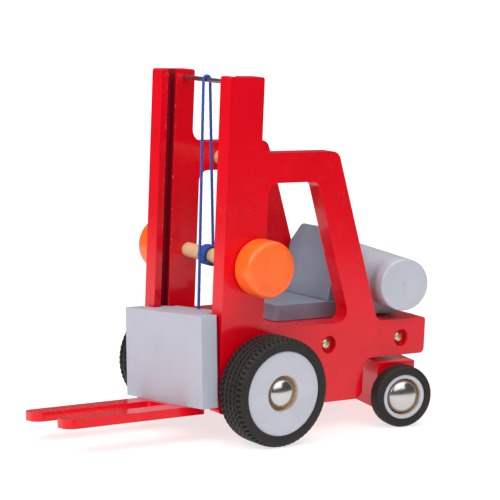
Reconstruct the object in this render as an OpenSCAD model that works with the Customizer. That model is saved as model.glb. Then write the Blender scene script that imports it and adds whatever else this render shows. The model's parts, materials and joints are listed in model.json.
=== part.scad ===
// Toy forklift truck in painted wood, with a cord hoist, a winder and a steered rear axle.
// Units are millimetres. +X points forward along the forks, +Y to the driver's left, +Z up.
// The floor is Z = 0. Lengths along the truck are counted backwards from the front of the mast.

/* [Side panels] */
// distance between the two outer faces
body_w = 78; // [70:1:90]
// thickness of one side panel
panel_t = 10; // [9:0.5:12]
// top of the mast
mast_h = 200; // [190:1:210]
// depth of a mast post, front to back
post_d = 22.2; // [20:0.2:26]
// top of the roof bar
roof_z = 159; // [155:1:162]
// top of the rear deck
deck_z = 60.8; // [59:0.2:62]
// underside of the rear deck
deck_under_z = 39.5; // [39:0.5:42]
// bottom edge of the side panels
sill_z = 16.4; // [14:0.2:18]
// length of a side panel
panel_l = 144.3; // [142:0.1:150]

/* [Mast and carriage] */
// width of the guide groove in each mast post
groove_w = 5.2; // [5:0.1:6]
// depth of the guide groove
groove_depth = 5.5; // [5:0.1:6]
// width of the carriage block
block_w = 77; // [70:1:78]
// height of the carriage block
block_h = 50.3; // [45:0.1:52]
// thickness of the carriage block
block_t = 11.2; // [10:0.1:13]
// how far the carriage hangs askew in its grooves, in degrees
sway_rest = 5.5; // [0:0.5:5.5]

/* [Forks] */
// reach of the fork tips in front of the mast
fork_reach = 88.5; // [80:0.5:100]
// width of one tine
tine_w = 15.5; // [12:0.5:18]
// gap between the tines
tine_gap = 19; // [16:0.5:24]
// thickness of the fork plate
fork_t = 5; // [4:0.5:6]

/* [Hoist] */
// diameter of the cord
cord_d = 1.75; // [1.5:0.05:2]
// diameter of the winder dowel
winder_d = 8.4; // [8:0.1:9]
// diameter of a winder knob
knob_d = 31.4; // [28:0.2:34]

/* [Wheels] */
// outside diameter of a front tyre
front_tyre_d = 60.4; // [58:0.2:62]
// width of a front tyre
front_tyre_w = 21.2; // [18:0.2:22]
// outside diameter of a rear tyre
rear_tyre_d = 35.8; // [33:0.2:36]
// width of a rear tyre
rear_tyre_w = 9.6; // [8:0.2:10]
// how far the rear axle is turned at rest, in degrees
steer_rest = 12; // [0:1:12]

/* [Hidden] */
$fn = 96;
// moves the middle of the length to X = 0
origin_x = 35.3;
inner_y = body_w / 2 - panel_t;
outer_y = body_w / 2;
run = 0.06;            // radial clearance of a running fit
eps = 0.01;

// mast
groove_x = -4.5;       // front wall of the groove
rod_x = -15.5;
rod_z = mast_h - 4.4;
rod_r = 1.3;
winder_x = -21.7;
winder_z = 97;
winder_r = winder_d / 2;
tie_x = -41.5;
tie_z = roof_z - 9.3;
tie_r = 4.1;

// the winder has some end play and rests against the left panel
knob_t = 14.7;
knob_gap_left = 0.35;
knob_gap_right = 5.3;

// window of the side panel
win_front = -27.7;
win_top = 142.3;
win_sill = 61.7;
win_top_back = -61.5;
win_low_back = -88.2;

// cord route
cord_r = cord_d / 2;
over_r = rod_r + cord_r + 0.03;
wrap_r = winder_r + cord_r + 0.03;
wrap_pitch = 1.82;
wrap_turns = 4.4;
wrap_y0 = -11;
rod_cord_y = -7;

// carriage, in its own frame: Y from its centre line
block_top = 67.8;
block_low = block_top - block_h;
block_x = 1.7;
hitch_x = -11.4;
hitch_y = -0.8;
plate_x = -9.4;        // back of the slide plate
plate_t = 4.6;
plate_w = 62.4;
plate_h = 21.8;
spacer_w = 50.6;
backing_x = -13.6;
fork_back = block_x;
fork_w = tine_gap / 2 + tine_w;
rebate = 0.4;
block_ease = 1.2;
fork_root = 16.5;      // closed end of the gap between the tines
fork_screw_x = 7.3;

// chassis
chassis_front = -30;
screw_x = [-74, -126.6];
screw_z = 49.6;
recess_r = 5;
recess_depth = 4;
shank_r = 1.7;

// front axle
front_axle_x = -26.9;
front_r = front_tyre_d / 2;
front_rim_r = 23.7;
front_in = outer_y + 2.3;
front_out = front_in + front_tyre_w;
axle_r = 2.5;
well_r = 9.9;
cap_r = 8.4;

// rear axle
steer_x = -131;
pin_r = 3;
rear_r = rear_tyre_d / 2;
rear_rim_r = 13.1;
rear_well_r = 10.6;
rear_cap_r = 9.8;
rear_in = 44.6;
rear_out = rear_in + rear_tyre_w;
steer_half = 42;
steer_depth = 24;
steer_low = 9;
steer_top = 36.5;
bottle_r = 15;
bottle_l = 95;
bottle_z = 82;
saddle_l = 52;
saddle_w = 15;

// seat
seat_w = 43.4;
seat_mid = -3.9;
seat_front = -51.3;
seat_back_x = -97.6;
seat_top = 70.2;
back_x = -86.9;
back_lean = 11.3;
back_h = 43.5;
back_cut = [8, 11];
back_t = 9;
back_yaw = 3.9;

// ---------- shared shapes ----------

// points of an outline whose corners are rounded: each corner is [x, y, radius]
function unit(v) = v / norm(v);
function corner(a, b, c, n = 7) =
    let (u = unit([a[0] - b[0], a[1] - b[1]]),
         w = unit([c[0] - b[0], c[1] - b[1]]),
         half = acos(max(-1, min(1, u * w))) / 2,
         run_in = b[2] / tan(half),
         mid = unit(u + w),
         centre = [b[0], b[1]] + mid * b[2] / sin(half),
         p = [b[0], b[1]] + u * run_in - centre,
         q = [b[0], b[1]] + w * run_in - centre,
         turn = atan2(p[0] * q[1] - p[1] * q[0], p * q))
    [for (i = [0:n]) let (t = turn * i / n)
        centre + [p[0] * cos(t) - p[1] * sin(t), p[0] * sin(t) + p[1] * cos(t)]];
function rounded(pts) =
    [for (i = [0:len(pts) - 1])
        each corner(pts[(i + len(pts) - 1) % len(pts)], pts[i], pts[(i + 1) % len(pts)])];

// a shaft or hole along Y from y0 to y1
module rod_y(r, y0, y1) {
    translate([0, y0, 0])
        rotate([-90, 0, 0])
            cylinder(r = r, h = y1 - y0);
}

// a turned piece: the profile is [radius, distance along Y]
module turned_y(profile) {
    rotate([-90, 0, 0])
        rotate_extrude()
            polygon(profile);
}

// a round bar along a straight line between two points
module bar(a, b, r) {
    d = b - a;
    translate(a)
        rotate([0, acos(d[2] / norm(d)), atan2(d[1], d[0])])
            cylinder(r = r, h = norm(d), $fn = 24);
}

// a tube of eight sides swept along a path
function ring_dir(path, i) =
    unit(path[min(i + 1, len(path) - 1)] - path[max(i - 1, 0)]);
module swept(path, side, r) {
    n = len(path);
    pts = [for (i = [0:n - 1])
        let (t = ring_dir(path, i),
             u = unit(cross(t, side)),
             v = cross(t, u))
        for (k = [0:7]) path[i] + r * (u * cos(45 * k) + v * sin(45 * k))];
    faces = concat(
        [[for (k = [0:7]) k]],
        [[for (k = [0:7]) (n - 1) * 8 + 7 - k]],
        [for (i = [0:n - 2]) for (k = [0:7])
            [i * 8 + k, (i + 1) * 8 + k, (i + 1) * 8 + (k + 1) % 8, i * 8 + (k + 1) % 8]]);
    polyhedron(points = pts, faces = faces, convexity = 8);
}

module at_mast() {
    translate([origin_x, 0, 0])
        children();
}

// the carriage hangs askew about the end of its cord
module at_carriage() {
    translate([origin_x, hitch_y, block_top])
        rotate([sway_rest, 0, 0])
            translate([0, 0, -block_top])
                children();
}

module at_steer() {
    translate([origin_x + steer_x, 0, 0])
        rotate([0, 0, -steer_rest])
            children();
}

module mirrored(side) {
    if (side > 0)
        children();
    else
        mirror([0, 1, 0])
            children();
}

// ---------- side panels ----------

module panel_outline() {
    difference() {
        polygon(rounded([[0, sill_z, 3], [0, mast_h, 1.5], [-post_d, mast_h, 1.5],
            [-post_d, roof_z, 7], [-74.9, roof_z, 6], [-108.2, deck_z, 6],
            [-panel_l, deck_z, 2], [-panel_l, deck_under_z, 3],
            [-99.7, deck_under_z, 5], [-99.7, sill_z, 5]]));
        polygon(rounded([[win_front, win_sill, 3], [win_front, win_top, 6],
            [win_top_back, win_top, 5], [win_low_back, win_sill, 6]]));
    }
}

module side_panel(side) {
    color([0.85, 0.05, 0.07])
        at_mast() mirrored(side) {
            difference() {
                translate([0, outer_y, 0])
                    rotate([90, 0, 0])
                        linear_extrude(panel_t)
                            panel_outline();
                // guide groove
                translate([groove_x - groove_w, inner_y - 1, 24])
                    cube([groove_w, groove_depth + 1, mast_h]);
                // running holes of the axle and the winder
                translate([front_axle_x, 0, front_r])
                    rod_y(axle_r, inner_y - 1, outer_y + 1);
                translate([winder_x, 0, winder_z])
                    rod_y(winder_r + run, inner_y - 1, outer_y + 1);
                // blind sockets of the rod and the roof dowel
                translate([rod_x, 0, rod_z])
                    rod_y(rod_r, inner_y - 1, inner_y + 5);
                translate([tie_x, 0, tie_z])
                    rod_y(tie_r, inner_y - 1, inner_y + 6);
                // recessed screws
                for (x = screw_x)
                    translate([x, 0, screw_z]) {
                        rod_y(recess_r, outer_y - recess_depth, outer_y + 1);
                        rod_y(shank_r, inner_y - 1, outer_y);
                    }
            }
        }
}

module panel_screw(side, x) {
    color([0.78, 0.72, 0.5])
        at_mast() mirrored(side)
            translate([x, 0, screw_z])
                difference() {
                    union() {
                        translate([0, outer_y - recess_depth, 0])
                            turned_y([[0, 0], [3.3, 0], [3.3, 0.7], [2.9, 1.5], [2, 2.1],
                                [0.9, 2.4], [0, 2.45]]);
                        rod_y(shank_r, outer_y - 20, outer_y - recess_depth + eps);
                    }
                    // cross recess
                    for (a = [45, 135])
                        translate([0, outer_y - recess_depth + 1.2, 0])
                            rotate([0, a, 0])
                                translate([-1.7, 0, -0.35])
                                    cube([3.4, 3, 0.7]);
                }
}

// ---------- chassis ----------

module chassis_block() {
    color([0.85, 0.05, 0.07])
        at_mast()
            difference() {
                translate([-panel_l, -inner_y, deck_under_z])
                    cube([panel_l + chassis_front, 2 * inner_y, deck_z - 0.3 - deck_under_z]);
                translate([steer_x, 0, 0])
                    cylinder(r = pin_r + run, h = 100);
                for (x = screw_x, s = [0, 180])
                    translate([x, 0, screw_z])
                        rotate([0, 0, s])
                            rod_y(shank_r, inner_y - 14, inner_y + 1);
            }
}

module roof_tie_dowel() {
    color([0.87, 0.7, 0.52])
        at_mast()
            translate([tie_x, 0, tie_z])
                rod_y(tie_r, -inner_y - 5.5, inner_y + 5.5);
}

module mast_top_rod() {
    color([0.75, 0.76, 0.78])
        at_mast()
            translate([rod_x, 0, rod_z])
                rod_y(rod_r, -inner_y - 4.5, inner_y + 4.5);
}

// ---------- seat ----------

module seat_cushion() {
    color([0.45, 0.48, 0.53])
        at_mast()
            translate([0, 0, deck_z - 0.3])
                linear_extrude(seat_top - deck_z + 0.3)
                    translate([0, seat_mid]) polygon(rounded([
                        [seat_front, -seat_w / 2, 3], [seat_front, seat_w / 2, 3],
                        [seat_back_x, seat_w / 2, 6], [seat_back_x, -seat_w / 2, 6]]));
}

module seat_backrest() {
    color([0.45, 0.48, 0.53])
        at_mast()
            difference() {
                translate([back_x, seat_mid, seat_top])
                    rotate([0, 0, back_yaw])
                    rotate([0, -back_lean, 0])
                        translate([0, 0, -2])
                            rotate([90, 0, -90])
                                linear_extrude(back_t)
                                    polygon(rounded([[-seat_w / 2, -1, 0.5],
                                        [seat_w / 2, -1, 0.5],
                                        [seat_w / 2 - 1, back_h - back_cut[1], 3],
                                        [seat_w / 2 - back_cut[0], back_h, 4],
                                        [-seat_w / 2 + back_cut[0], back_h, 4],
                                        [-seat_w / 2 + 1, back_h - back_cut[1], 3]]));
                translate([back_x - 40, -50, seat_top - 20])
                    cube([80, 100, 20]);
            }
}

// ---------- hoist ----------

module winder_dowel() {
    color([0.87, 0.7, 0.52])
        at_mast()
            translate([winder_x, 0, winder_z])
                rod_y(winder_r, -outer_y - knob_gap_right - 12, outer_y + knob_gap_left + 12);
}

module winder_knob(side) {
    r = knob_d / 2;
    y0 = outer_y + (side > 0 ? knob_gap_left : knob_gap_right);
    color([1, 0.4, 0.15])
        at_mast() mirrored(side)
            translate([winder_x, 0, winder_z])
                difference() {
                    translate([0, y0, 0])
                        turned_y(concat([[0, 0], [r - 2, 0]],
                            [for (a = [15:15:75]) [r - 2 + 2 * sin(a), 2 - 2 * cos(a)]],
                            [[r, 2], [r, knob_t - 2.5]],
                            [for (a = [15:15:75]) [r - 2.5 + 2.5 * cos(a), knob_t - 2.5 + 2.5 * sin(a)]],
                            [[r - 2.5, knob_t], [0, knob_t]]));
                    rod_y(winder_r, 0, y0 + 12);
                }
}

function wrap_point(t) = [origin_x + winder_x - wrap_r * cos(360 * t),
    wrap_y0 + wrap_pitch * t, winder_z - wrap_r * sin(360 * t)];

module hoist_cord_wound() {
    color([0.1, 0.28, 0.66])
        swept([for (i = [0:70]) wrap_point(wrap_turns * i / 70)], [0, 1, 0], cord_r);
}

module hoist_cord_rear() {
    top = [origin_x + rod_x, rod_cord_y, rod_z];
    low = [origin_x + winder_x - wrap_r, wrap_y0, winder_z + 0.5];
    turn = [for (a = [180:-15:0]) top + over_r * [cos(a), 0, sin(a)]];
    rise = [for (i = [0:17]) low + (turn[0] - low) * i / 18];
    color([0.1, 0.28, 0.66])
        swept(concat(rise, turn), [0, 1, 0], cord_r);
}

module hoist_cord_front() {
    color([0.1, 0.28, 0.66])
        bar([origin_x + hitch_x, hitch_y, block_top + 0.6],
            [origin_x + rod_x + over_r, rod_cord_y, rod_z - 0.05], cord_r);
}

module hoist_cord_tail() {
    color([0.1, 0.28, 0.66])
        translate([origin_x + hitch_x, hitch_y, block_top - 4])
            cylinder(r = cord_r, h = 4.2, $fn = 24);
}

// ---------- carriage ----------

module carriage_block() {
    w = block_w / 2;
    front = block_x + block_t;
    color([0.74, 0.76, 0.8])
        at_carriage()
            translate([0, 0, block_low])
                difference() {
                    union() {
                        // its rear edges are eased where they pass the front tyres
                        linear_extrude(block_h)
                            polygon([[block_x, block_ease - w], [block_x + block_ease, -w],
                                [front, -w], [front, w], [block_x + block_ease, w],
                                [block_x, w - block_ease]]);
                        // shallow pad let into the fork plate
                        translate([block_x, -fork_w, -rebate])
                            cube([block_t, 2 * fork_w, rebate + eps]);
                    }
                    for (y = [-17, 17])
                        translate([fork_screw_x, y, -1])
                            cylinder(r = 1.5, h = 13);
                }
}

module carriage_spacer() {
    color([0.74, 0.76, 0.8])
        at_carriage()
            translate([plate_x + plate_t, -spacer_w / 2, block_top - plate_h])
                cube([block_x - plate_x - plate_t, spacer_w, plate_h]);
}

module carriage_slide_plate() {
    color([0.74, 0.76, 0.8])
        at_carriage()
            translate([plate_x, -plate_w / 2, block_top - plate_h])
                cube([plate_t, plate_w, plate_h]);
}

module carriage_backing() {
    color([0.74, 0.76, 0.8])
        at_carriage()
            translate([backing_x, -spacer_w / 2, block_top - plate_h])
                difference() {
                    cube([plate_x - backing_x, spacer_w, plate_h]);
                    translate([hitch_x - backing_x, spacer_w / 2, plate_h - 8])
                        cylinder(r = 1.7, h = 12, $fn = 48);
                }
}

module fork_plate() {
    w = fork_w;
    g = tine_gap / 2;
    color([0.85, 0.05, 0.07])
        at_carriage()
            translate([0, 0, block_low - fork_t])
                difference() {
                    linear_extrude(fork_t)
                        polygon(rounded([[fork_back, -w, 2], [fork_reach, -w, 6],
                            [fork_reach, -g, 6], [fork_root, -g, 1.5],
                            [fork_root, g, 1.5], [fork_reach, g, 6],
                            [fork_reach, w, 6], [fork_back, w, 2]]));
                    // seat of the carriage block
                    translate([block_x - 1, -w - 1, fork_t - rebate])
                        cube([block_t + 1.2, 2 * w + 2, rebate + 1]);
                    for (y = [-17, 17])
                        translate([fork_screw_x, y, -1]) {
                            cylinder(r = 1.5, h = 10);
                            translate([0, 0, 0.9])
                                cylinder(r1 = 3, r2 = 1.5, h = 1.6);
                        }
                }
}

module fork_screw(y) {
    color([0.78, 0.72, 0.5])
        at_carriage()
            translate([fork_screw_x, y, block_low - fork_t])
                difference() {
                    union() {
                        cylinder(r1 = 2.9, r2 = 1.5, h = 1.5);
                        cylinder(r = 1.5, h = 15);
                    }
                    for (a = [45, 135])
                        rotate([0, 0, a])
                            translate([-1.5, -0.3, -0.5])
                                cube([3, 0.6, 1.4]);
                }
}

// ---------- wheels ----------

// a painted disc with a countersunk well round its bore, between y0 and y1
module wheel_disc(r, well, y0, y1) {
    turned_y([[axle_r + run, y0], [r, y0], [r, y1 - 0.6], [r - 0.6, y1],
        [well, y1], [well - 0.4, y1 - 5], [axle_r + run, y1 - 5]]);
}

// a rubber ring with rounded shoulders
module tyre_ring(r0, r1, y0, y1, s) {
    turned_y(concat([[r0, y0 + 0.8], [r0 + 1.5, y0]],
        [[r1 - s, y0]],
        [for (a = [15:15:75]) [r1 - s + s * sin(a), y0 + s - s * cos(a)]],
        [[r1, y0 + s], [r1, y1 - s]],
        [for (a = [15:15:75]) [r1 - s + s * cos(a), y1 - s + s * sin(a)]],
        [[r1 - s, y1], [r0 + 1.5, y1], [r0, y1 - 0.8]]));
}

// a domed hub cap pressed on an axle end: its back is at y0
module hub_cap(r, y0) {
    turned_y(concat([[axle_r, y0], [r - 0.5, y0], [r, y0 + 0.5], [r, y0 + 1]],
        [for (a = [15:15:75]) [r * cos(a), y0 + 1 + 5 * sin(a)]],
        [[0, y0 + 6], [0, y0 + 2.5], [axle_r, y0 + 2.5]]));
}

// a loose washer
module washer_y(y0, h) {
    difference() {
        rod_y(6, y0, y0 + h);
        rod_y(axle_r + run, y0 - 1, y0 + h + 1);
    }
}

module at_front_wheel(side) {
    at_mast() mirrored(side)
        translate([front_axle_x, 0, front_r])
            children();
}

module at_rear_wheel(side) {
    at_steer() mirrored(side)
        translate([0, 0, rear_r])
            children();
}

module front_wheel(side) {
    color([0.74, 0.76, 0.8])
        at_front_wheel(side)
            wheel_disc(front_rim_r, well_r, front_in + 0.8, front_out - 0.9);
}

module front_tyre(side) {
    color([0.14, 0.13, 0.13])
        at_front_wheel(side)
            tyre_ring(front_rim_r, front_r, front_in, front_out, 3);
}

module front_washer(side) {
    color([0.7, 0.7, 0.72])
        at_front_wheel(side)
            washer_y(outer_y + 0.3, 1.9);
}

module front_axle() {
    color([0.7, 0.7, 0.72])
        at_mast()
            translate([front_axle_x, 0, front_r])
                rod_y(axle_r, -front_out + 3, front_out - 3);
}

module front_cap(side) {
    color([0.85, 0.86, 0.88])
        at_front_wheel(side)
            hub_cap(cap_r, front_out - 5.5);
}

module rear_wheel(side) {
    color([0.74, 0.76, 0.8])
        at_rear_wheel(side)
            wheel_disc(rear_rim_r, rear_well_r, rear_in + 0.4, rear_out - 0.5);
}

module rear_tyre(side) {
    color([0.14, 0.13, 0.13])
        at_rear_wheel(side)
            tyre_ring(rear_rim_r, rear_r, rear_in, rear_out, 2.2);
}

module rear_cap(side) {
    color([0.85, 0.86, 0.88])
        at_rear_wheel(side)
            hub_cap(rear_cap_r, rear_out - 4.6);
}

module rear_washer(side) {
    color([0.7, 0.7, 0.72])
        at_rear_wheel(side)
            washer_y(steer_half + 0.3, 1.9);
}

module rear_axle() {
    color([0.7, 0.7, 0.72])
        at_steer()
            translate([0, 0, rear_r])
                rod_y(axle_r, -rear_out + 2.6, rear_out - 2.6);
}

// ---------- steering ----------

module steer_block() {
    color([0.85, 0.05, 0.07])
        at_steer()
            difference() {
                translate([-steer_depth / 2, -steer_half, steer_low])
                    cube([steer_depth, 2 * steer_half, steer_top - steer_low]);
                translate([0, 0, rear_r + axle_r + 3])
                    cylinder(r = pin_r, h = 50);
                translate([0, 0, rear_r])
                    rod_y(axle_r, -60, 60);
            }
}

module steer_pin() {
    color([0.87, 0.7, 0.52])
        at_steer()
            translate([0, 0, rear_r + axle_r + 3])
                cylinder(r = pin_r, h = deck_z + 5 - rear_r - axle_r - 3);
}

module steer_washer(z, h) {
    color([0.7, 0.7, 0.72])
        at_steer()
            translate([0, 0, z])
                difference() {
                    cylinder(r = 7.5, h = h);
                    translate([0, 0, -1])
                        cylinder(r = pin_r + 0.02, h = h + 2);
                }
}

module bottle_saddle() {
    color([0.5, 0.5, 0.53])
        at_steer()
            difference() {
                translate([-saddle_w / 2, -saddle_l / 2, deck_z + 1.2])
                    cube([saddle_w, saddle_l, 7]);
                translate([0, 0, bottle_z])
                    rod_y(bottle_r, -60, 60);
                translate([0, 0, deck_z])
                    cylinder(r = pin_r, h = 5);
            }
}

module gas_bottle() {
    r = bottle_r;
    h = bottle_l / 2;
    color([0.74, 0.76, 0.8])
        at_steer()
            translate([0, 0, bottle_z])
                turned_y(concat([[0, -h], [r - 1, -h]],
                    [for (a = [15:15:75]) [r - 1 + sin(a), 1 - h - cos(a)]],
                    [[r, 1 - h], [r, h - 1]],
                    [for (a = [15:15:75]) [r - 1 + cos(a), h - 1 + sin(a)]],
                    [[r - 1, h], [0, h]]));
}

side_panel(1);  // side_panel_left
side_panel(-1);  // side_panel_right
chassis_block();
roof_tie_dowel();
mast_top_rod();
front_axle();
front_cap(1);  // front_cap_left
front_cap(-1);  // front_cap_right
front_washer(1);  // front_washer_left
front_washer(-1);  // front_washer_right
panel_screw(1, screw_x[0]);  // panel_screw_left_front
panel_screw(1, screw_x[1]);  // panel_screw_left_rear
panel_screw(-1, screw_x[0]);  // panel_screw_right_front
panel_screw(-1, screw_x[1]);  // panel_screw_right_rear
seat_cushion();
seat_backrest();
hoist_cord_rear();
hoist_cord_front();
winder_dowel();
winder_knob(1);  // winder_knob_left
winder_knob(-1);  // winder_knob_right
hoist_cord_wound();
hoist_cord_tail();
carriage_block();
carriage_spacer();
carriage_slide_plate();
carriage_backing();
fork_plate();
fork_screw(17);  // fork_screw_left
fork_screw(-17);  // fork_screw_right
steer_block();
steer_pin();
steer_washer(deck_z + 0.1, 1.1);  // steer_washer_upper
steer_washer(steer_top, 2.7);  // steer_washer_lower
bottle_saddle();
gas_bottle();
rear_axle();
rear_cap(1);  // rear_cap_left
rear_cap(-1);  // rear_cap_right
rear_washer(1);  // rear_washer_left
rear_washer(-1);  // rear_washer_right
front_wheel(1);  // front_wheel_left
front_wheel(-1);  // front_wheel_right
front_tyre(1);  // front_tyre_left
front_tyre(-1);  // front_tyre_right
rear_wheel(1);  // rear_wheel_left
rear_wheel(-1);  // rear_wheel_right
rear_tyre(1);  // rear_tyre_left
rear_tyre(-1);  // rear_tyre_right
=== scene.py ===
"""Painted wooden toy forklift: its finishes, tyres, wheels, turned parts and hoist cord."""

import json
import math

import bmesh
import bpy
import numpy as np
from mathutils import Matrix, Vector


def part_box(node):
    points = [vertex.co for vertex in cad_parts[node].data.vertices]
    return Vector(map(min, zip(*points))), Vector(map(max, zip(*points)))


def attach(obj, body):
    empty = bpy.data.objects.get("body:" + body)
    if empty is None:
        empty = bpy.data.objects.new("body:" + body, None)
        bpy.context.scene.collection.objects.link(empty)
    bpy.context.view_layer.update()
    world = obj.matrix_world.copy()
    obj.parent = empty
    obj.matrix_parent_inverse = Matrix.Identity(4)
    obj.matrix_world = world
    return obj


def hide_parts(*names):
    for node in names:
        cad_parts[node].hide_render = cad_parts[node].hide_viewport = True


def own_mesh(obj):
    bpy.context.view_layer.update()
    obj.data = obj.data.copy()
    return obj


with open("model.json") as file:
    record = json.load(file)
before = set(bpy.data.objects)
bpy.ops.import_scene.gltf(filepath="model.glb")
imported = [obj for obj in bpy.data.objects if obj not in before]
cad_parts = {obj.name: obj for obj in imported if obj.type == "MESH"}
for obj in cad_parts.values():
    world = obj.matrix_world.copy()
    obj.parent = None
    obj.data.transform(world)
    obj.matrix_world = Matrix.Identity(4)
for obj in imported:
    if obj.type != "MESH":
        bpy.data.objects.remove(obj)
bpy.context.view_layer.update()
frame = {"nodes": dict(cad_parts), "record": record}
nodes = frame["nodes"]
joints = {joint["name"]: joint for joint in frame["record"]["behaviour"]["joints"]}
MM = 0.001


# ---------------------------------------------------------------- shader maths

class Wire:
    """A number or colour coming out of a node, which adds Math nodes as it is calculated with."""

    def __init__(self, finish, socket):
        self.finish, self.socket = finish, socket

    def math(self, operation, *values):
        return self.finish.node("ShaderNodeMath", {"operation": operation},
                                dict(enumerate(values)))

    def __add__(self, other):
        return self.math("ADD", self, other)

    def __radd__(self, other):
        return self.math("ADD", other, self)

    def __sub__(self, other):
        return self.math("SUBTRACT", self, other)

    def __rsub__(self, other):
        return self.math("SUBTRACT", other, self)

    def __mul__(self, other):
        return self.math("MULTIPLY", self, other)

    def __rmul__(self, other):
        return self.math("MULTIPLY", other, self)

    def sine(self):
        return self.math("SINE", self)

    def size(self):
        return self.math("ABSOLUTE", self)

    def larger(self, other):
        return self.math("MAXIMUM", self, other)

    def ramp(self, low, high):
        """0 below low, 1 above high, smooth between them."""
        return self.finish.node("ShaderNodeMapRange", {"interpolation_type": "SMOOTHSTEP"},
                                {0: self, 1: low, 2: high, 3: 0.0, 4: 1.0})


class Finish:
    """One material: a Principled shader and the nodes that vary it."""

    def __init__(self, name, **constants):
        self.material = bpy.data.materials.new(name)
        self.material.use_nodes = True
        self.tree = self.material.node_tree
        self.shader = self.tree.nodes["Principled BSDF"]
        for socket, value in constants.items():
            self.shader.inputs[socket.replace("_", " ")].default_value = value

    def node(self, kind, settings=None, values=None, output=0):
        """Adds a node: its settings first, then a value or a link for each of its sockets."""
        made = self.tree.nodes.new(kind)
        for name, value in (settings or {}).items():
            if name == "stops":
                ramp = made.color_ramp.elements
                while len(ramp) < len(value):
                    ramp.new(0.5)
                for stop, (place, colour) in zip(ramp, value):
                    stop.position, stop.color = place, (*colour, 1.0)
            else:
                setattr(made, name, value)
        for key, value in (values or {}).items():
            if isinstance(value, Wire):
                self.tree.links.new(value.socket, made.inputs[key])
            else:
                made.inputs[key].default_value = value
        return Wire(self, made.outputs[output])

    def place(self, scale=(1, 1, 1), turn=(0, 0, 0)):
        """Object coordinates in metres, stretched and turned for a pattern."""
        where = self.node("ShaderNodeTexCoord", output="Object")
        return self.node("ShaderNodeMapping", None,
                         {"Vector": where, "Scale": scale, "Rotation": turn})

    def around(self):
        """The piece's own map: x once round it, y in metres along its profile or path."""
        return self.node("ShaderNodeUVMap", {"uv_map": "along"})

    def axis(self, vector, name):
        return self.node("ShaderNodeSeparateXYZ", None, {0: vector}, output=name)

    def noise(self, vector, scale, detail=3.0, rough=0.55):
        return self.node("ShaderNodeTexNoise", None,
                         {"Vector": vector, "Scale": scale, "Detail": detail, "Roughness": rough})

    def mix(self, amount, first, second):
        """Colour mixed from first to second."""
        values = {"Factor": amount}
        for key, colour in ((6, first), (7, second)):
            values[key] = colour if isinstance(colour, Wire) else (*colour, 1.0)
        return self.node("ShaderNodeMix", {"data_type": "RGBA"}, values, output=2)

    def carried(self, name):
        """A number painted on the piece's points."""
        return self.node("ShaderNodeAttribute", {"attribute_name": name}, output="Fac")

    def bump(self, height, depth, strength=1.0, below=None):
        """Normal from a height, whose 0 to 1 stands depth metres proud."""
        values = {"Height": height, "Distance": depth, "Strength": strength}
        if below is not None:
            values["Normal"] = below
        return self.node("ShaderNodeBump", None, values)

    def into(self, **links):
        """Joins wires to the shader's sockets."""
        for socket, wire in links.items():
            self.tree.links.new(wire.socket, self.shader.inputs[socket.replace("_", " ")])
        return self.material


def enamel(name, light, dark, grain=(1, 1, 0.12), gloss=0.2, coat=0.28, depth=0.00003,
           open_grain=0.15, groove_shade=None):
    """Paint on wood: slow changes of tone, a trace of grain, specks of dust in the film, small
    chips on the lips of the guide grooves and patches that are rubbed duller. Deep in the
    guide grooves the colour given for them is painted shade, darker than the paint around."""
    paint = Finish(name, Coat_Weight=coat, Coat_Roughness=0.06, Specular_IOR_Level=0.25)
    place = paint.place()
    slow = paint.noise(place, 26.0, 2.0)
    fibres = paint.noise(paint.place(grain), 1500.0, 4.0, 0.7)
    peel = paint.noise(place, 700.0, 2.0)
    specks = paint.node("ShaderNodeTexVoronoi", None, {"Vector": place, "Scale": 230.0})
    speck = 1.0 - specks.ramp(0.05, 0.12)
    rubbed = paint.noise(place, 75.0, 5.0, 0.7).ramp(0.5, 0.72)
    tone = slow.ramp(0.35, 0.7) * 0.75 + fibres * open_grain + rubbed * 0.1
    colour = paint.mix(tone, light, dark)
    colour = paint.mix(speck * 0.2, colour, tuple(c * 0.6 for c in dark))
    roughness = gloss + rubbed * 0.12 + fibres * 0.05
    if groove_shade is not None:
        x, y, z = (paint.axis(place, name) for name in "XYZ")
        y = y.size()
        deep = ((x.ramp(GROOVE[0] - 0.0006, GROOVE[0] - 0.0002)
                 - x.ramp(GROOVE[1] + 0.0002, GROOVE[1] + 0.0006))
                * y.ramp(0.0291, 0.0305) * (1.0 - y.ramp(0.0348, 0.0352)))
        # painted shade: the colour deep in the guide grooves is mixed toward a darker colour
        colour = paint.mix(deep * 0.85, colour, groove_shade)
        roughness = roughness + deep * 0.4
        lips = ((x.ramp(GROOVE[0] - 0.0011, GROOVE[0] - 0.0004)
                 - x.ramp(GROOVE[1] + 0.0004, GROOVE[1] + 0.0011))
                * (1.0 - y.ramp(0.0292, 0.0296)) * z.ramp(0.03, 0.04))
        chips = paint.noise(paint.place((1, 1, 0.5)), 900.0, 3.0, 0.7).ramp(0.6, 0.66) * lips
        colour = paint.mix(chips * 0.8, colour, (0.75, 0.32, 0.3))
    height = peel * 0.5 + fibres * open_grain * 2 + speck * 0.25
    return paint.into(Base_Color=colour, Roughness=roughness,
                      Normal=paint.bump(height, depth, 0.7))


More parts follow.
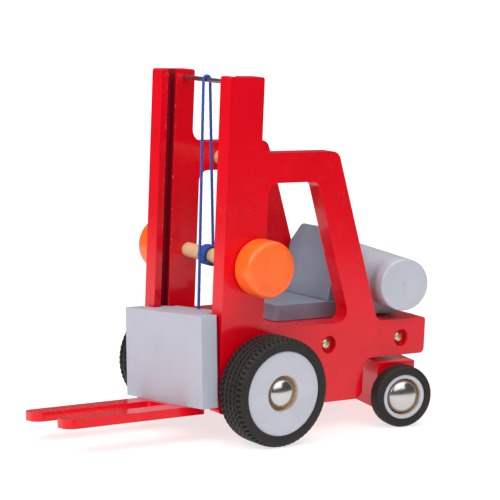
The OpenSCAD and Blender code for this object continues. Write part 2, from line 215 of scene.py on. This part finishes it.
def turned_paint(name, light, dark, bare_light, bare_dark, gloss=0.36, rings=900.0,
                 ridge=0.35):
    """Paint on turned wood, with the lathe's fine rings and bare wood where no paint went."""
    paint = Finish(name, Coat_Weight=0.12, Coat_Roughness=0.2)
    place, along = paint.place(), paint.around()
    out = paint.axis(along, "Y")
    bare = paint.carried("bare")
    slow = paint.noise(place, 60.0, 3.0).ramp(0.3, 0.7)
    ring = (out * (rings * 2 * math.pi)).sine() * 0.5 + 0.5
    ring = ring * paint.noise(along, 350.0, 2.0)
    fine = paint.noise(place, 1700.0, 3.0)
    grain = paint.noise(paint.place((1, 0.1, 1)), 1400.0, 4.0, 0.7)
    colour = paint.mix(slow * 0.7 + fine * 0.2, light, dark)
    wood = paint.mix(grain.ramp(0.3, 0.7), bare_light, bare_dark)
    height = ring * ridge + fine * 0.4 + bare * grain * 0.6
    return paint.into(
        Base_Color=paint.mix(bare, colour, wood),
        Roughness=gloss + fine * 0.12 + bare * 0.3,
        Normal=paint.bump(height, 0.00004, 0.7))


def bare_wood(name, light, dark, grain):
    """Sanded beech: long fibres, short dark flecks and soft bands."""
    wood = Finish(name)
    fibres = wood.noise(wood.place(grain), 1500.0, 5.0, 0.7)
    bands = wood.noise(wood.place(grain), 260.0, 2.0)
    flecks = wood.node("ShaderNodeTexVoronoi", None,
                       {"Vector": wood.place(tuple(g * 1.2 + 0.1 for g in grain)), "Scale": 900.0})
    fleck = 1.0 - flecks.ramp(0.12, 0.3)
    colour = wood.mix(fibres * 0.5 + bands * 0.5, light, dark)
    colour = wood.mix(fleck * 0.35, colour, tuple(c * 0.55 for c in dark))
    return wood.into(Base_Color=colour, Roughness=0.5 + fibres * 0.2,
                     Normal=wood.bump(fibres - fleck * 0.4, 0.00005, 0.7))


def rubber(name):
    """Moulded tyre rubber: dull, a little dusty, with a fine skin, and painted shade that colours
    the tread near black where it sinks.
    """
    tyre = Finish(name, Specular_IOR_Level=0.3)
    place = tyre.place()
    skin = tyre.noise(place, 2400.0, 3.0)
    dust = tyre.noise(place, 130.0, 4.0, 0.7).ramp(0.45, 0.8)
    sunk = tyre.carried("sunk")
    colour = tyre.mix(dust * 0.6, (0.016, 0.0135, 0.0125), (0.034, 0.027, 0.023))
    # painted shade: where the tread sinks the colour goes near black
    colour = tyre.mix(sunk * 0.95, colour, (0.001, 0.001, 0.001))
    return tyre.into(Base_Color=colour, Roughness=0.5 + skin * 0.16 + dust * 0.12,
                     Normal=tyre.bump(skin, 0.00005, 0.8))


def metal(name, colour, roughness, scratch=0.06, stretch=(1, 1, 1), shade=0.75):
    """Bright metal: fine scratches, faint smears and a slight change of tone."""
    plate = Finish(name, Metallic=1.0)
    place = plate.place(stretch)
    smear = plate.noise(place, 160.0, 4.0, 0.7)
    scratches = plate.noise(plate.place((stretch[0], stretch[1] * 0.15, stretch[2])), 3000.0, 2.0)
    tone = smear * 0.5 + scratches * 0.3
    return plate.into(
        Base_Color=plate.mix(tone, colour, tuple(c * shade for c in colour)),
        Roughness=roughness + smear * scratch + scratches * scratch * 0.6,
        Normal=plate.bump(scratches, 0.00001, 0.5))


def braid(name, light, dark):
    """Braided cord: two sets of strands crossing round it, with painted light on the crowns and
    painted shade in the gaps between them.
    """
    yarn = Finish(name, Sheen_Weight=0.25, Sheen_Roughness=0.4)
    along = yarn.around()
    turn, run = yarn.axis(along, "X"), yarn.axis(along, "Y")
    left = ((turn * (8 * math.pi)) + run * 2300.0).sine()
    right = ((turn * (8 * math.pi)) - run * 2300.0).sine()
    crown = left.larger(right) * 0.5 + 0.5
    fuzz = yarn.noise(yarn.place(), 5200.0, 3.0)
    # painted light and shade: the strand crowns are coloured pale and the gaps between strands dark
    colour = yarn.mix(crown * 0.75 + fuzz * 0.25, dark, light)
    return yarn.into(Base_Color=colour, Roughness=0.62 + fuzz * 0.2,
                     Normal=yarn.bump(crown * 0.8 + fuzz * 0.4, 0.00016, 0.9))


# from and to, in metres along the truck: the guide grooves in both mast posts
GROOVE = (0.0256, 0.0308)
# the darker red given for the guide grooves of the red panels is painted shade
RED = enamel("red_enamel", (0.76, 0.0, 0.011), (0.69, 0.0, 0.008), groove_shade=(0.22, 0.002, 0.014))
RED_FLAT = enamel("red_enamel_flat", (0.76, 0.0, 0.010), (0.67, 0.0, 0.006), (0.12, 1, 1))
GREY = enamel("pale_satin", (0.455, 0.475, 0.55), (0.40, 0.425, 0.50), (1, 0.12, 1), 0.42, 0.08,
              0.00005, 0.25)
SEAT = enamel("slate_satin", (0.225, 0.275, 0.345), (0.19, 0.235, 0.305), (0.12, 1, 1), 0.45, 0.06,
              0.00005, 0.25)
HUB = turned_paint("pale_satin_turned", (0.51, 0.52, 0.585), (0.46, 0.47, 0.54),
                   (0.82, 0.60, 0.42), (0.58, 0.38, 0.23))
BOTTLE = turned_paint("pale_satin_bottle", (0.49, 0.505, 0.57), (0.44, 0.455, 0.52),
                      (0.42, 0.26, 0.14), (0.24, 0.13, 0.06), rings=520.0, ridge=0.9)
ORANGE = turned_paint("orange_gloss_turned", (1.0, 0.15, 0.014), (0.93, 0.115, 0.008),
                      (0.7, 0.45, 0.25), (0.5, 0.3, 0.14), 0.3)
BEECH = bare_wood("beech_dowel", (0.80, 0.55, 0.33), (0.60, 0.36, 0.18), (1, 0.08, 1))
BEECH_PIN = bare_wood("beech_pin", (0.74, 0.5, 0.3), (0.55, 0.33, 0.17), (1, 1, 0.08))
STEEL = metal("drawn_steel", (0.46, 0.46, 0.48), 0.28)
CHROME = metal("bright_chrome", (0.60, 0.595, 0.585), 0.07, 0.16, shade=0.6)
ZINC = metal("yellow_zinc", (0.72, 0.66, 0.46), 0.22, 0.12)
TYRE = rubber("tyre_rubber")
CORD = braid("blue_braid", (0.02, 0.10, 0.52), (0.005, 0.02, 0.16))


# ---------------------------------------------------------------- surfaces

def surface(name, points, along, finish, closed_rows=False, closed_columns=True, extra=None):
    """A skin over a grid of points (rows, columns, 3). Columns join up when closed; so do rows,
    or else each end row is closed by its own middle. along is (rows,) metres down the rows."""
    rows, columns = points.shape[:2]
    grid = np.arange(rows * columns).reshape(rows, columns)
    down = grid if not closed_rows else np.vstack([grid, grid[:1]])
    over = np.hstack([down, down[:, :1]]) if closed_columns else down
    quads = np.stack([over[:-1, :-1], over[:-1, 1:], over[1:, 1:], over[1:, :-1]], -1)
    faces = [tuple(face) for face in quads.reshape(-1, 4).tolist()]
    spots = [tuple(spot) for spot in points.reshape(-1, 3).tolist()]
    mesh = bpy.data.meshes.new(name)
    mesh.from_pydata(spots, [], faces)
    corners = np.arange(columns + 1) / columns
    length = np.append(along, along[-1] + 0.0005)[:down.shape[0]]
    u = np.stack([corners[:-1], corners[1:], corners[1:], corners[:-1]], -1)
    u = np.broadcast_to(u[None, :over.shape[1] - 1], (down.shape[0] - 1, over.shape[1] - 1, 4))
    v = np.stack([length[:-1], length[:-1], length[1:], length[1:]], -1)[:, None, :]
    v = np.broadcast_to(v, u.shape)
    mesh.uv_layers.new(name="along").data.foreach_set(
        "uv", np.stack([u, v], -1).reshape(-1).astype(np.float32))
    for key, values in (extra or {}).items():
        spread = np.broadcast_to(np.asarray(values, float).reshape(rows, -1), (rows, columns))
        mesh.attributes.new(key, "FLOAT", "POINT").data.foreach_set(
            "value", spread.reshape(-1).astype(np.float32))
    shape = bmesh.new()
    shape.from_mesh(mesh)
    bmesh.ops.remove_doubles(shape, verts=shape.verts, dist=1e-7)
    loose = [edge for edge in shape.edges if edge.is_boundary]
    if loose:
        bmesh.ops.holes_fill(shape, edges=loose, sides=0)
    bmesh.ops.recalc_face_normals(shape, faces=shape.faces)
    shape.to_mesh(mesh)
    shape.free()
    mesh.shade_smooth()
    mesh.set_sharp_from_angle(angle=math.radians(38))
    mesh.materials.append(finish)
    piece = bpy.data.objects.new(name, mesh)
    bpy.context.scene.collection.objects.link(piece)
    return piece


def rounded(corners, steps=6):
    """A closed outline from corners (radius, along, round): each corner is replaced by the
    curve that starts and ends a distance of round from it, with the corner as its control."""
    spots = np.array([corner[:2] for corner in corners], float)
    reach = np.array([corner[2] for corner in corners], float)
    line = []
    for index, spot in enumerate(spots):
        if reach[index] == 0:
            line.append(spot)
            continue
        before = spots[index - 1] - spot
        after = spots[(index + 1) % len(spots)] - spot
        start = spot + before / np.linalg.norm(before) * reach[index]
        end = spot + after / np.linalg.norm(after) * reach[index]
        t = np.linspace(0, 1, steps + 1)[:, None]
        line.extend((1 - t) ** 2 * start + 2 * t * (1 - t) * spot + t ** 2 * end)
    return np.array(line)


def dense(outline, step):
    """The same closed outline with points no further than step apart."""
    closed = np.vstack([outline, outline[:1]])
    line = []
    for start, end in zip(closed[:-1], closed[1:]):
        count = max(1, int(np.ceil(np.linalg.norm(end - start) / step)))
        line.extend(start + (end - start) * np.arange(count)[:, None] / count)
    return np.array(line)


def frame_of(axis):
    """Two directions square to an axis."""
    side = np.cross(axis, (0, 0, 1.0))
    side /= np.linalg.norm(side)
    return side, np.cross(side, axis)


def turned(name, outline, centre, axis, finish, columns=144, extra=None):
    """A closed outline (radius, along) spun round an axis through centre. Radius 0 makes a pole."""
    axis = np.array(axis, float)
    side, up = frame_of(axis)
    angle = np.arange(columns) / columns * 2 * np.pi
    outward = np.cos(angle)[:, None] * side + np.sin(angle)[:, None] * up
    radius, along = outline[:, 0], outline[:, 1]
    points = (np.array(centre) + along[:, None, None] * axis
              + radius[:, None, None] * outward[None])
    length = np.append(0, np.cumsum(np.linalg.norm(np.diff(outline, axis=0), axis=1)))
    return surface(name, points, length, finish, closed_rows=True, extra=extra)


def tread_tyre(name, centre, axis, bore, radius, inner, outer):
    """A tyre whose ring section is spun round its axle. The tread sinks by deep in four zigzag
    rings, a triangle wave sixty times round, and in short cross slots on both shoulders."""
    blocks, fine, deep, zigzag = 60, 8, 1.2, 1.3
    corners = [(bore, inner, 0.5), (radius - 1.2, inner, 2.6), (radius, inner + 3.6, 1.6),
               (radius, outer - 3.6, 1.6), (radius - 1.2, outer, 2.6), (bore, outer, 0.5)]
    outline = dense(rounded(corners, 5), 0.3)
    axis = np.array(axis, float)
    side, up = frame_of(axis)
    columns = blocks * fine
    angle = np.arange(columns) / columns * 2 * np.pi
    across = (outline[:, 1] - (inner + outer) / 2)[:, None]
    phase = np.abs((np.arange(columns) / fine) % 1 - 0.5)[None]
    wave = phase * 2 - 0.5
    sunk = np.zeros((len(outline), columns))
    for place in (-5.4, -1.8, 1.8, 5.4):
        gap = np.abs(across - place - wave * zigzag)
        sunk = np.maximum(sunk, 1 - np.clip((gap - 0.42) / 0.22, 0, 1))
    slot = np.clip(2.0 - phase * 8, 0, 1)
    shoulder = (np.clip((np.abs(across) - 6.6) / 0.4, 0, 1)
                * np.clip((9.9 - np.abs(across)) / 0.5, 0, 1))
    sunk = np.maximum(sunk, slot * shoulder * 0.75)
    sunk = sunk * (outline[:, :1] > radius - 3.0)
    reach = outline[:, :1] - deep * sunk
    spun = np.cos(angle)[:, None] * side + np.sin(angle)[:, None] * up
    points = (np.array(centre) + MM * outline[:, 1][:, None, None] * axis
              + MM * reach[:, :, None] * spun[None])
    length = MM * np.append(0, np.cumsum(np.linalg.norm(np.diff(outline, axis=0), axis=1)))
    return surface(name, points, length, TYRE, closed_rows=True, extra={"sunk": sunk})


def ribbed_tyre(name, centre, axis, bore, radius, inner, outer):
    """A narrow tyre: a ring section with five shallow square grooves, spun round its axle."""
    corners = [(bore, inner, 0.4), (radius - 0.9, inner, 1.4), (radius, inner + 1.8, 0.9),
               (radius, outer - 1.8, 0.9), (radius - 0.9, outer, 1.4), (bore, outer, 0.4)]
    outline = dense(rounded(corners, 5), 0.12)
    across = outline[:, 1] - (inner + outer) / 2
    gap = np.abs((across / 1.25 + 0.5) % 1 - 0.5) * 1.25
    sunk = (1 - np.clip((gap - 0.14) / 0.1, 0, 1)) * (np.abs(across) < 3.3)
    sunk = sunk * (outline[:, 0] > radius - 1.5)
    outline[:, 0] -= 0.4 * sunk
    return turned(name, outline * MM, centre, axis, TYRE, 160, {"sunk": sunk[:, None]})


def hub(name, centre, axis, rim, inner, outer, well, depth, finish):
    """A turned wheel: rounded rim, a shallow turned step near it and a bare well in the middle."""
    corners = [(0, inner, 0), (rim, inner, 0.6), (rim, outer, 0.9), (well + 0.35, outer, 0.3),
               (well, outer - 0.7, 0.3), (well - 0.3, outer - depth, 0.2), (0, outer - depth, 0)]
    outline = dense(rounded(corners, 5), 0.9)
    bare = (outline[:, 0] < well + 0.02) & (outline[:, 1] > inner + 1)
    return turned(name, outline * MM, centre, axis, finish, 144, {"bare": bare[:, None]})


def dome(name, centre, axis, radius, inner, outer):
    """A push-on hub cap: a dome whose height falls as the cosine, over a short skirt."""
    t = np.linspace(0, np.pi / 2, 20)
    height = outer - inner - 0.8
    crown = np.stack([radius * np.sin(t), inner + 0.8 + height * np.cos(t)], -1)
    skirt = np.array([[radius, inner + 0.3], [radius - 0.4, inner], [0, inner]])
    return turned(name, np.vstack([crown, skirt]) * MM, centre, axis, CHROME, 96)


def cord(name, path, radius):
    """A round cord carried along a path: each ring stands square to the path's direction and
    three strands swell it by a sine that turns once in 5 mm."""
    steps = np.linalg.norm(np.diff(path, axis=0), axis=1)
    length = np.append(0, np.cumsum(steps))
    count = int(length[-1] / 0.0004)
    even = np.linspace(0, length[-1], count)
    path = np.stack([np.interp(even, length, path[:, i]) for i in range(3)], -1)
    heading = np.gradient(path, axis=0)
    heading /= np.linalg.norm(heading, axis=1)[:, None]
    side = np.cross(heading, (0, 1.0, 0))
    side /= np.linalg.norm(side, axis=1)[:, None]
    up = np.cross(side, heading)
    angle = np.arange(16) / 16 * 2 * np.pi
    swell = 0.965 + 0.035 * np.sin(3 * angle[None] - even[:, None] / 0.005 * 2 * np.pi)
    ring = np.cos(angle)[None, :, None] * side[:, None] + np.sin(angle)[None, :, None] * up[:, None]
    points = path[:, None] + radius * swell[:, :, None] * ring
    return surface(name, points, even, CORD)


# ---------------------------------------------------------------- painted wood, kept from the frame

def soften(node, finish, width, segments=3):
    """The frame's own node with its edges eased and its finish."""
    piece = nodes[node]
    piece.data.materials.clear()
    piece.data.materials.append(finish)
    weld = piece.modifiers.new("join", "WELD")
    weld.merge_threshold = 0.000002
    flat = piece.modifiers.new("flat", "DECIMATE")
    flat.decimate_type, flat.angle_limit = "DISSOLVE", math.radians(1.0)
    if width:
        ease = piece.modifiers.new("ease", "BEVEL")
        ease.width, ease.segments = width * MM, segments
        ease.limit_method, ease.angle_limit = "ANGLE", math.radians(32)
        ease.harden_normals = True


for name in ("side_panel_left", "side_panel_right"):
    soften(name, RED, 0.7)
for name in ("chassis_block", "steer_block"):
    soften(name, RED_FLAT, 0.5)
soften("fork_plate", RED_FLAT, 0.5)
for name in ("carriage_block", "carriage_spacer", "carriage_slide_plate", "carriage_backing"):
    soften(name, GREY, 0.45)
soften("bottle_saddle", GREY, 0.5)
for name in ("seat_cushion", "seat_backrest"):
    soften(name, SEAT, 0.6)
for name in ("winder_dowel", "roof_tie_dowel"):
    soften(name, BEECH, 0.3)
soften("steer_pin", BEECH_PIN, 0.2)
for name in [name for name in nodes if "washer" in name or "axle" in name or "rod" in name]:
    soften(name, STEEL, 0.15, 2)
for name in [name for name in nodes if "screw" in name]:
    soften(name, ZINC, 0.12, 2)


# ---------------------------------------------------------------- turned parts

def middle(node):
    low, high = (np.array(corner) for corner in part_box(node))
    return (low + high) / 2


def mirrored(axis, side):
    return np.array(axis, float) * side


def put(piece, body, slot, *replaced):
    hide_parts(*replaced)
    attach(piece, body)


# millimetres: radii, and distances out from the middle of the axle
FRONT_RIM, FRONT_TYRE, FRONT_WELL, FRONT_CAP = 23.7, 30.2, 9.9, 8.4
REAR_RIM, REAR_TYRE, REAR_WELL, REAR_CAP = 13.1, 17.9, 10.6, 9.8
REAR_MIDDLE, WELL_DEPTH = 49.4, 4.9
KNOB_R, KNOB_T = 15.7, 14.7
BOTTLE_R, BOTTLE_HALF = 15, 47.5

for word, side in (("left", 1), ("right", -1)):
    spin = joints[f"front_{word}_spin"]
    hub_at = np.array(spin["pos_m"]) * (1, 0, 1)
    out = mirrored((0, 1, 0), side)
    body = f"front_{word}_wheel"
    put(tread_tyre(f"tread_tyre_{word}", hub_at, out, FRONT_RIM, FRONT_TYRE, 41.3, 62.5),
        body, "tyre_rubber", f"front_tyre_{word}")
    put(hub(f"front_hub_{word}", hub_at, out, FRONT_RIM, 42.1, 61.6, FRONT_WELL, WELL_DEPTH, HUB),
        body, "pale_paint", f"front_wheel_{word}")
    put(dome(f"front_dome_{word}", hub_at, out, FRONT_CAP, 57.0, 63.0),
        "truck", "hub_chrome", f"front_cap_{word}")

    spin = joints[f"rear_{word}_spin"]
    out = mirrored(spin["axis"], side)
    hub_at = np.array(spin["pos_m"]) - out * REAR_MIDDLE * MM
    body = f"rear_{word}_wheel"
    put(ribbed_tyre(f"ribbed_tyre_{word}", hub_at, out, REAR_RIM, REAR_TYRE, 44.6, 54.2),
        body, "tyre_rubber", f"rear_tyre_{word}")
    put(hub(f"rear_hub_{word}", hub_at, out, REAR_RIM, 44.8, 53.7, REAR_WELL, WELL_DEPTH, HUB),
        body, "pale_paint", f"rear_wheel_{word}")
    put(dome(f"rear_dome_{word}", hub_at, out, REAR_CAP, 49.6, 55.6),
        "rear_steering", "hub_chrome", f"rear_cap_{word}")

    knob_at = np.array(joints["winder_turn"]["pos_m"]) * (1, 0, 1)
    inside = min(abs(corner[1]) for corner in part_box(f"winder_knob_{word}")) / MM
    outline = dense(rounded([(0, inside, 0), (KNOB_R, inside, 2.4),
                             (KNOB_R, inside + KNOB_T, 3.4), (0, inside + KNOB_T, 0)], 8), 1.2)
    put(turned(f"knob_{word}", outline * MM, knob_at, mirrored((0, 1, 0), side), ORANGE,
               144, {"bare": np.zeros((len(outline), 1))}),
        "winder", "orange_paint", f"winder_knob_{word}")

bottle_axis = np.array(joints["rear_left_spin"]["axis"])
outline = dense(rounded([(0, -BOTTLE_HALF, 0), (BOTTLE_R, -BOTTLE_HALF, 1.1),
                         (BOTTLE_R, BOTTLE_HALF, 1.1), (1.1, BOTTLE_HALF, 0.3),
                         (0.6, BOTTLE_HALF - 0.6, 0.3), (0, BOTTLE_HALF - 0.6, 0)], 5), 1.2)
put(turned("turned_bottle", outline * MM, middle("gas_bottle"), bottle_axis, BOTTLE, 144,
           {"bare": np.zeros((len(outline), 1))}),
    "rear_steering", "pale_paint", "gas_bottle")


# ---------------------------------------------------------------- hoist cord

winder = np.array(joints["winder_turn"]["pos_m"]) / MM
rod = middle("mast_top_rod") / MM * (1, 0, 1)
CORD_R = 0.875
OVER_R, WRAP_R = 1.3 + CORD_R + 0.03, 4.2 + CORD_R + 0.03
TURNS, PITCH = 4.4, 1.82
WOUND_Y, OVER_Y = -11, -7
TIE_Z, LIFT = 68.2, 112

turn = np.linspace(0, TURNS, 400) * 2 * np.pi
wound = np.stack([winder[0] - WRAP_R * np.cos(turn), WOUND_Y + PITCH * turn / (2 * np.pi),
                  winder[2] - WRAP_R * np.sin(turn)], -1)
put(cord("cord_wound", wound * MM, CORD_R * MM), "winder", "blue_cord", "hoist_cord_wound")

arc = np.linspace(np.pi, 0, 30)
over = rod + (0, OVER_Y, 0) + OVER_R * np.stack([np.cos(arc), 0 * arc, np.sin(arc)], -1)
foot = np.array([winder[0] - WRAP_R, WOUND_Y, winder[2] + 0.5])
rise = foot + (over[0] - foot) * np.linspace(0, 1, 30)[:-1, None]
put(cord("cord_rear", np.vstack([rise, over]) * MM, CORD_R * MM), "truck", "blue_cord",
    "hoist_cord_rear")

tail = middle("hoist_cord_tail") / MM
front_foot = np.array([tail[0], tail[1], TIE_Z])
front_head = over[-1] + (0, 0, -0.05)
front = front_foot + (front_head - front_foot) * np.linspace(0, 1, 40)[:, None]
front_run = cord("cord_front", front * MM, CORD_R * MM)
put(front_run, "truck", "blue_cord", "hoist_cord_front")
front_head[2] * MM
(front_head[2] - TIE_Z - LIFT) / (front_head[2] - TIE_Z)
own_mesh(front_run)
tail_path = np.stack([tail + (0, 0, h) for h in np.linspace(-2.0, 2.0, 12)])
put(cord("cord_tail", tail_path * MM, CORD_R * MM), "hitch", "blue_cord", "hoist_cord_tail")


# ---------------------------------------------------------------- floor, light and camera

def panel(name, spot, target, width, height, power, colour=(1, 1, 1)):
    """A rectangular lamp that faces its target."""
    lamp = bpy.data.lights.new(name, "AREA")
    lamp.shape, lamp.size, lamp.size_y = "RECTANGLE", width, height
    lamp.energy, lamp.color = power, colour
    thing = bpy.data.objects.new(name, lamp)
    thing.location = spot
    thing.rotation_euler = (Vector(target) - Vector(spot)).to_track_quat("-Z", "Y").to_euler()
    bpy.context.scene.collection.objects.link(thing)


def camera(azimuth, elevation, roll, target, distance, lens):
    """A camera that looks at a target from an azimuth and elevation in degrees."""
    a, e, r = (math.radians(value) for value in (azimuth, elevation, roll))
    back = Vector((math.cos(a) * math.cos(e), math.sin(a) * math.cos(e), math.sin(e)))
    right = Vector((-math.sin(a), math.cos(a), 0))
    up = back.cross(right)
    x = math.cos(r) * right - math.sin(r) * up
    y = math.sin(r) * right + math.cos(r) * up
    thing = bpy.data.objects.new("camera", bpy.data.cameras.new("camera"))
    place = Matrix((x, y, back)).transposed().to_4x4()
    place.translation = Vector(target) + back * distance
    thing.matrix_world = place
    thing.data.lens, thing.data.sensor_width = lens, 36.0
    thing.data.clip_start = 0.01
    bpy.context.scene.collection.objects.link(thing)
    bpy.context.scene.camera = thing


AZIMUTH, ELEVATION, ROLL = 54.48, 8.08, -2.29

# White paper, bright enough near the toy to wash its shadow out. Away from the toy, the toy
# sees a dim room and the viewer sees plain white.
paper = Finish("white_paper", Roughness=0.9)
seen = paper.node("ShaderNodeLightPath", output="Is Camera Ray")
reach = paper.node("ShaderNodeVectorMath", {"operation": "LENGTH"}, {0: paper.place()},
                   output="Value")
away = reach.ramp(0.45, 0.95)
fibre = paper.noise(paper.place(), 40.0, 3.0)
paper.into(Base_Color=paper.mix(away, (0.42, 0.42, 0.42), (0.02, 0.02, 0.02)))
paper.shader.inputs["Emission Strength"].default_value = 1.3
glow = 0.53 * (1 - away) + away * (0.05 + seen * 0.92) + fibre * 0.015
paper.into(Emission_Color=paper.mix(glow, (0, 0, 0), (1, 0.995, 0.99)))
# a sweep: flat floor that curves up into a wall behind, both seen as one pale sheet
sweep_turn = math.radians(AZIMUTH)
sweep_angle = np.linspace(0, np.pi / 2, 24)
sweep_out = np.concatenate([[-3.0], 0.9 + 0.8 * np.sin(sweep_angle), [1.7]])
sweep_up = np.concatenate([[0.0], 0.8 - 0.8 * np.cos(sweep_angle), [3.2]])
sweep_side = np.array([-3.0, 3.0])
sweep_x = (-sweep_out[:, None] * math.cos(sweep_turn) - sweep_side[None] * math.sin(sweep_turn))
sweep_y = (-sweep_out[:, None] * math.sin(sweep_turn) + sweep_side[None] * math.cos(sweep_turn))
sweep_points = np.stack([sweep_x, sweep_y, np.broadcast_to(sweep_up[:, None], sweep_x.shape)], -1)
row = np.arange(len(sweep_out) - 1) * 2
floor_mesh = bpy.data.meshes.new("floor")
floor_mesh.from_pydata(sweep_points.reshape(-1, 3).tolist(), [],
                       np.stack([row, row + 1, row + 3, row + 2], -1).tolist())
floor_mesh.shade_smooth()
floor_mesh.materials.append(paper.material)
floor = bpy.data.objects.new("floor", floor_mesh)
bpy.context.scene.collection.objects.link(floor)

world = bpy.data.worlds.new("studio")
bpy.context.scene.world = world
world.use_nodes = True
sky = world.node_tree.nodes["Background"]
view_ray = world.node_tree.nodes.new("ShaderNodeLightPath")
brightness = world.node_tree.nodes.new("ShaderNodeMapRange")
brightness.inputs["To Min"].default_value = 0.10
brightness.inputs["To Max"].default_value = 1.1
world.node_tree.links.new(view_ray.outputs["Is Camera Ray"], brightness.inputs["Value"])
world.node_tree.links.new(brightness.outputs["Result"], sky.inputs["Strength"])
sky.inputs["Color"].default_value = (1, 1, 1, 1)

panel("key", (0.95, 0.10, 0.75), (0, 0, 0.08), 0.6, 0.6, 8.6)
panel("fill", (0.25, 1.1, 0.95), (0, 0, 0.08), 1.5, 0.9, 7.6)
panel("top", (-0.1, 0.1, 1.1), (0, 0, 0), 1.7, 1.7, 15.0)
camera(AZIMUTH, ELEVATION, ROLL, (-0.0202, -0.0153, 0.0969), 1.1251, 1949.57 * 36 / 500)
bpy.context.scene.view_settings.view_transform = "Standard"
